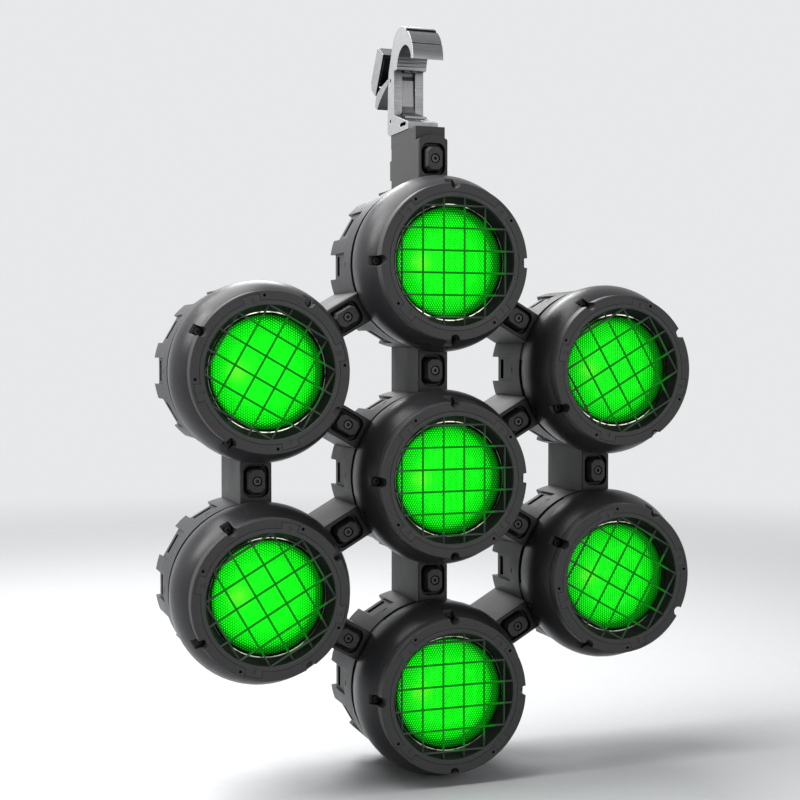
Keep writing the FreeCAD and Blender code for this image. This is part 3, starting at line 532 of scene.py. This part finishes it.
def lit_board():
    """Light board, green and lit all over, brighter on its emitters, with a warm patch beside the middle."""
    tree = new_tree("light_board")
    place = tree.place()
    depth = tree.axis(place, "Y")
    plane = head_frame("c").translation.y
    on_emitter = tree.math("LESS_THAN", depth, plane - (BOARD_FACE + EMITTER_HEIGHT / 2) * MM)
    on_front = tree.math("LESS_THAN", depth, plane - (BOARD_FACE - BOARD_SLACK) * MM)
    lit = tree.span(from_nearest_head(tree, place), LIT_RADIUS * MM, (LIT_RADIUS - LIT_FADE) * MM)
    warm = tree.span(from_nearest_head(tree, place, side=-WARM_SIDE), WARM_RADIUS * MM, 0.0)
    weave = tree.noise(place, 700.0, detail=3.0)
    glow = tree.mix(on_emitter, tinted(BOARD_GREEN), tinted(EMITTER_GREEN))
    glow = tree.mix(tree.math("MULTIPLY", warm, warm), glow, tinted(WARM_GREEN))
    strength = tree.span(on_emitter, 0.0, 1.0, BOARD_GLOW, EMITTER_GLOW)
    return tree.close(tree.add("BsdfPrincipled", {
        "Base Color": tree.mix(weave, tinted((0.006, 0.035, 0.015)), tinted((0.012, 0.055, 0.025))),
        "Roughness": tree.span(weave, *MIDDLE, 0.3, 0.5),
        "Specular IOR Level": 0.1,
        "Emission Color": glow,
        "Emission Strength": tree.both(tree.both(on_front, lit), strength),
    }))


def guard_coat(name, centre):
    """Guard: painted like the ring out from the bore, worn grey wire inside it with a painted green tint of
    the lens's light, lit green over the lens.
    """
    tree = new_tree(name)
    place = tree.place()
    away = tree.distance(tree.flat_place(place, (1.0, 0.0, 1.0)), (centre.x, 0.0, centre.z))
    painted = tree.span(away, (RING_BORE - PAINT_INSET) * MM, (RING_BORE + PAINT_OUTSET) * MM)
    lit = over_lens(tree, away)
    skin = tree.noise(place, 1300.0, detail=2.0, rough=0.6)
    cloud = tree.noise(place, COAT_CLOUD_SCALE, detail=5.0, rough=0.6)
    coat = tree.mix(tree.span(skin, *MIDDLE), tinted((0.035, 0.035, 0.036)), tinted((0.063, 0.063, 0.065)))
    worn = tree.span(cloud, *TIGHT_MIDDLE)
    # The wire's greys carry a painted green tint of the lens's light; over the lens the wire is painted
    # darker and greener, as painted shade on its front and painted green light.
    wire = tree.mix(worn, tinted((0.026, 0.042, 0.028)), tinted((0.052, 0.080, 0.056)))
    wire = tree.mix(lit, wire, tinted((0.008, 0.018, 0.008)))
    soft, edges = edge_mask(tree, 0.5)
    rubbed = tree.math("MULTIPLY", tree.both(edges, painted), 0.4)
    return tree.close(tree.add("BsdfPrincipled", {
        "Base Color": tree.mix(rubbed, tree.mix(painted, wire, coat), tinted((0.13, 0.13, 0.13))),
        "Roughness": tree.span(cloud, *MIDDLE, 0.40, 0.52),
        "Specular IOR Level": tree.span(lit, 0.0, 1.0, 0.3, 0.04),
        "Emission Color": tinted(WIRE_GREEN),
        "Emission Strength": tree.math("MULTIPLY", lit, WIRE_GLOW),
        "Normal": tree.bump(skin, 0.4, COAT_RELIEF, soft),
    }))


def rim_metal():
    """Thin rim: painted highlights at its top and bottom, dull at its sides."""
    tree = new_tree("rim_metal")
    place = tree.place()
    cloud = tree.noise(place, 260.0, detail=4.0, rough=0.6)
    from_top = from_nearest_head(tree, place, rise=LENS_RADIUS)
    from_bottom = from_nearest_head(tree, place, rise=-LENS_RADIUS)
    top = tree.span(from_top, RIM_HIGHLIGHT_TOP * MM, (RIM_HIGHLIGHT_TOP - RIM_FADE_TOP) * MM)
    bottom = tree.span(from_bottom, RIM_HIGHLIGHT_BOTTOM * MM, (RIM_HIGHLIGHT_BOTTOM - RIM_FADE_BOTTOM) * MM)
    # Painted highlights: the rim's top and bottom stretches get a bright colour.
    highlight_tone = tree.mix(cloud, tinted((0.50, 0.52, 0.42)), tinted((0.66, 0.67, 0.55)))
    dull = tree.mix(cloud, tinted((0.030, 0.036, 0.028)), tinted((0.075, 0.085, 0.065)))
    return tree.close(tree.add("BsdfPrincipled", {
        "Base Color": tree.mix(tree.math("MAXIMUM", top, bottom), dull, highlight_tone),
        "Metallic": 1.0,
        "Roughness": tree.span(cloud, *MIDDLE, 0.14, 0.26),
    }))


def coats_by_kind():
    """Coats of the painted pieces, by the first word of a node's name."""
    link = powder_coat("link_coat", (0.046, 0.046, 0.047), rough=0.48, grain=1200.0, bump=0.45,
                       bevel=0.9, hollow=9.0)
    return {
        "ring": powder_coat("ring_coat", (0.048, 0.048, 0.049), rough=0.46, grain=1300.0, bump=0.5),
        "shell": powder_coat("shell_coat", (0.029, 0.029, 0.031), rough=0.32, grain=1800.0, bump=0.22,
                             specular=0.22),
        "drum": powder_coat("drum_coat", (0.040, 0.040, 0.042), rough=0.42, grain=1400.0, bump=0.4),
        "link": link,
        "adapter": link,
    }


def metals_by_node():
    """Materials of the other pieces, by node."""
    sink = powder_coat("sink_anodised", (0.008, 0.008, 0.009), rough=0.38, grain=2400.0, bump=0.2, bevel=0.3)
    black = bare_metal("black_steel", (0.030, 0.030, 0.029), rough=0.36, lines=(800.0,) * 3, streak=0.2,
                       bevel=0.3)
    steel = bare_metal("link_screw_steel", (0.050, 0.050, 0.050), rough=0.36, lines=(700.0,) * 3,
                       streak=0.2, bevel=0.3)
    pin = bare_metal("pin_steel", (0.05, 0.05, 0.05), rough=0.34, lines=(30.0, 900.0, 900.0), streak=0.2)
    claw = bare_metal("claw_steel", (0.20, 0.20, 0.205), rough=0.34, lines=(700.0, 12.0, 12.0), streak=0.2)
    hook = extruded_alloy("hook_aluminium", drawn=(0.19, 0.192, 0.195), sawn_and_lit=(0.46, 0.46, 0.465),
                          hollow=12.0, bands=(HOOK_BROW_DARK_REFLECTION, HOOK_GROOVE_SHADOW))
    lever = extruded_alloy("lever_aluminium", drawn=(0.08, 0.08, 0.082), sawn_and_lit=(0.38, 0.38, 0.385),
                           hollow=26.0)
    return {
        "lens_rims": rim_metal(),
        "light_boards": lit_board(),
        "heat_sinks": sink,
        "shell_screws": black,
        "link_screws": steel,
        "hook_body": hook,
        "hook_lever": lever,
        "hook_claw": claw,
        "hook_pins": pin,
        "hook_bolt": pin,
    }


def paint_node(node, material):
    """Every face of a CAD node gets this material."""
    mesh = NODES[node].data
    mesh.materials.clear()
    mesh.materials.append(material)


def dress_cad():
    coats = coats_by_kind()
    metals = metals_by_node()
    for node in NODES:
        material = metals.get(node, coats.get(node.split("_")[0]))
        if material is not None:
            paint_node(node, material)
    for name in HEAD_TURN:
        paint_node("guard_" + name, guard_coat("guard_coat_" + name, head_frame(name).translation))


# Pieces

def head_frame(name):
    """Where a head stands, from its ring in the frame, and how its front is turned."""
    low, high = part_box("ring_" + name)
    centre = Vector(((low.x + high.x) / 2, low.y + RING_FRONT * MM, (low.z + high.z) / 2))
    return Matrix.Translation(centre) @ Matrix.Rotation(math.radians(-HEAD_TURN[name]), 4, "Y")


def make_piece(name, points, faces, head, material, smooth=True, furrows=None):
    """A mesh piece on the array, from points in millimetres in a head's frame.

    furrows has a value from 0 to 1 for each point."""
    place = head_frame(head)
    mesh = bpy.data.meshes.new(name)
    mesh.from_pydata([tuple(place @ (Vector(p) * MM)) for p in points], [], faces)
    mesh.polygons.foreach_set("use_smooth", [smooth] * len(mesh.polygons))
    mesh.materials.append(material)
    if furrows:
        mesh.attributes.new("furrow", "FLOAT", "POINT").data.foreach_set("value", furrows)
    mesh.update()
    obj = bpy.data.objects.new(name, mesh)
    bpy.context.scene.collection.objects.link(obj)
    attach(obj, "array")
    return obj


def pebble(x, z):
    """0 at the middle of a pebble to 1 at the corner where three meet."""
    row = PEBBLE_PITCH * math.sqrt(3)
    reaches = []
    for shift in (0.0, 0.5):
        u = x / PEBBLE_PITCH - shift
        v = z / row - shift
        dx = (u - round(u)) * PEBBLE_PITCH
        dz = (v - round(v)) * row
        reaches.append(dx * dx + dz * dz)
    return math.sqrt(min(reaches)) / (PEBBLE_PITCH / math.sqrt(3))


def circle_points(radius):
    """How many points a circle of the lens gets: more outward, doubled each time."""
    count = LENS_INNER_POINTS
    while count * LENS_STEP * LENS_STEP_SPREAD < 2 * math.pi * radius:
        count *= 2
    return count


def lens_mesh():
    """Points, faces and furrows of a lens: circles of points, finer outward, over a flat back."""
    points = [(0.0, -LENS_FACE - LENS_CROWN - PEBBLE_HEIGHT, 0.0)]
    furrows = [0.0]
    faces = []
    before = [0]
    circles = round(LENS_RADIUS / LENS_STEP)
    for k in range(1, circles + 1):
        radius = LENS_RADIUS * k / circles
        count = circle_points(radius)
        level = -LENS_FACE - LENS_CROWN * (1 - (radius / LENS_RADIUS) ** 2)
        keep = max(0.0, min(1.0, (LENS_RADIUS - PEBBLE_MARGIN - radius) / PEBBLE_PITCH))
        here = []
        for i in range(count):
            turn = 2 * math.pi * i / count
            x = radius * math.cos(turn)
            z = radius * math.sin(turn)
            share = pebble(x, z)
            here.append(len(points))
            points.append((x, level - PEBBLE_HEIGHT * keep * (1 - share * share), z))
            furrows.append(share * share)
        faces += bridge(before, here)
        before = here
    edge = [len(points) + i for i in range(len(before))]
    back = -LENS_FACE + LENS_EDGE
    points += [(points[i][0], back, points[i][2]) for i in before]
    furrows += [0.0] * len(before)
    faces += bridge(before, edge)
    faces.append(tuple(edge))
    return points, faces, furrows


def bridge(inner, outer):
    """Faces between a point or circle and the next circle, which has as many or twice as many points."""
    if len(inner) == 1:
        return [(inner[0], outer[(i + 1) % len(outer)], outer[i]) for i in range(len(outer))]
    faces = []
    count = len(inner)
    for i in range(count):
        j = (i + 1) % count
        if len(outer) == count:
            faces.append((inner[i], inner[j], outer[j], outer[i]))
        else:
            faces.append((inner[i], outer[2 * i + 1], outer[2 * i]))
            faces.append((inner[i], inner[j], outer[2 * i + 1]))
            faces.append((inner[j], outer[(2 * i + 2) % len(outer)], outer[2 * i + 1]))
    return faces


def add_lenses():
    """Clear lenses with pebbles in the mesh, each in place of a head's smooth one."""
    points, faces, furrows = lens_mesh()
    material = clear_lens()
    for name in HEAD_TURN:
        obj = make_piece("pebbled_lens_" + name, points, faces, name, material, furrows=furrows)
        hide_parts("lens_" + name)


def bead(points, faces, centre):
    """Adds a flattened weld bead at a crossing."""
    first = len(points)
    for k in range(BEAD_LEVELS):
        tilt = math.pi * (k + 1) / (BEAD_LEVELS + 1)
        out = BEAD_RADIUS * math.sin(tilt)
        for i in range(BEAD_SIDES):
            turn = 2 * math.pi * i / BEAD_SIDES
            points.append((centre[0] + out * math.cos(turn),
                           centre[1] + BEAD_HEIGHT * math.cos(tilt),
                           centre[2] + out * math.sin(turn)))
    for k in range(BEAD_LEVELS - 1):
        for i in range(BEAD_SIDES):
            j = (i + 1) % BEAD_SIDES
            base = first + k * BEAD_SIDES
            faces.append((base + i, base + j, base + BEAD_SIDES + j, base + BEAD_SIDES + i))
    faces.append(tuple(first + i for i in reversed(range(BEAD_SIDES))))
    last = first + (BEAD_LEVELS - 1) * BEAD_SIDES
    faces.append(tuple(last + i for i in range(BEAD_SIDES)))


def add_welds():
    """A flattened bead where each pair of wires crosses."""
    # The welds' greenish grey carries a painted green tint of the lens's light.
    material = bare_metal("weld_metal", (0.045, 0.065, 0.048), rough=0.42, lines=(60.0,) * 3, streak=0.3,
                          bevel=0.3)
    points = []
    faces = []
    lines = [WIRE_PITCH * (i + 0.5) for i in range(-WIRE_COUNT // 2, WIRE_COUNT // 2)]
    for x in lines:
        for z in lines:
            if math.hypot(x, z) < RING_BORE - BEAD_MARGIN:
                bead(points, faces, (x, -WIRE_LAYER, z))
    for name in HEAD_TURN:
        make_piece("wire_welds_" + name, points, faces, name, material)


def lathe(profile, count):
    """Points and faces of a closed profile of (radius, y) turned about the head's axis."""
    points = []
    faces = []
    size = len(profile)
    for i in range(count):
        turn = 2 * math.pi * i / count
        points += [(r * math.cos(turn), y, r * math.sin(turn)) for r, y in profile]
    for i in range(count):
        a = i * size
        b = (i + 1) % count * size
        for k in range(size):
            m = (k + 1) % size
            faces.append((a + k, a + m, b + m, b + k))
    return points, faces


def add_cone_ribs():
    """Fine steps turned into the dark cone round each lens."""
    material = powder_coat("cone_ribs", (0.010, 0.011, 0.010), rough=0.30, grain=2200.0, bump=0.15,
                           specular=0.16, edge=(0.05, 0.05, 0.05), bevel=0.2)
    (r0, y0), (r1, y1) = CONE_FRONT, CONE_BACK
    profile = []
    for k in range(RIB_COUNT):
        for share, height_share in RIB_STEP_SHARES:
            along = (k + share) / RIB_COUNT
            profile.append((r0 + (r1 - r0) * along - RIB_HEIGHT * height_share, y0 + (y1 - y0) * along))
    profile += [(r1, y1), (r1 + RIB_HEIGHT, y1), (r0 + RIB_HEIGHT, y0)]
    points, faces = lathe(profile, CONE_SIDES)
    for name in HEAD_TURN:
        make_piece("cone_ribs_" + name, points, faces, name, material, smooth=False)


make_stage()
dress_cad()
add_lenses()
add_welds()
add_cone_ribs()

view = bpy.context.scene.view_settings
view.view_transform = "Standard"
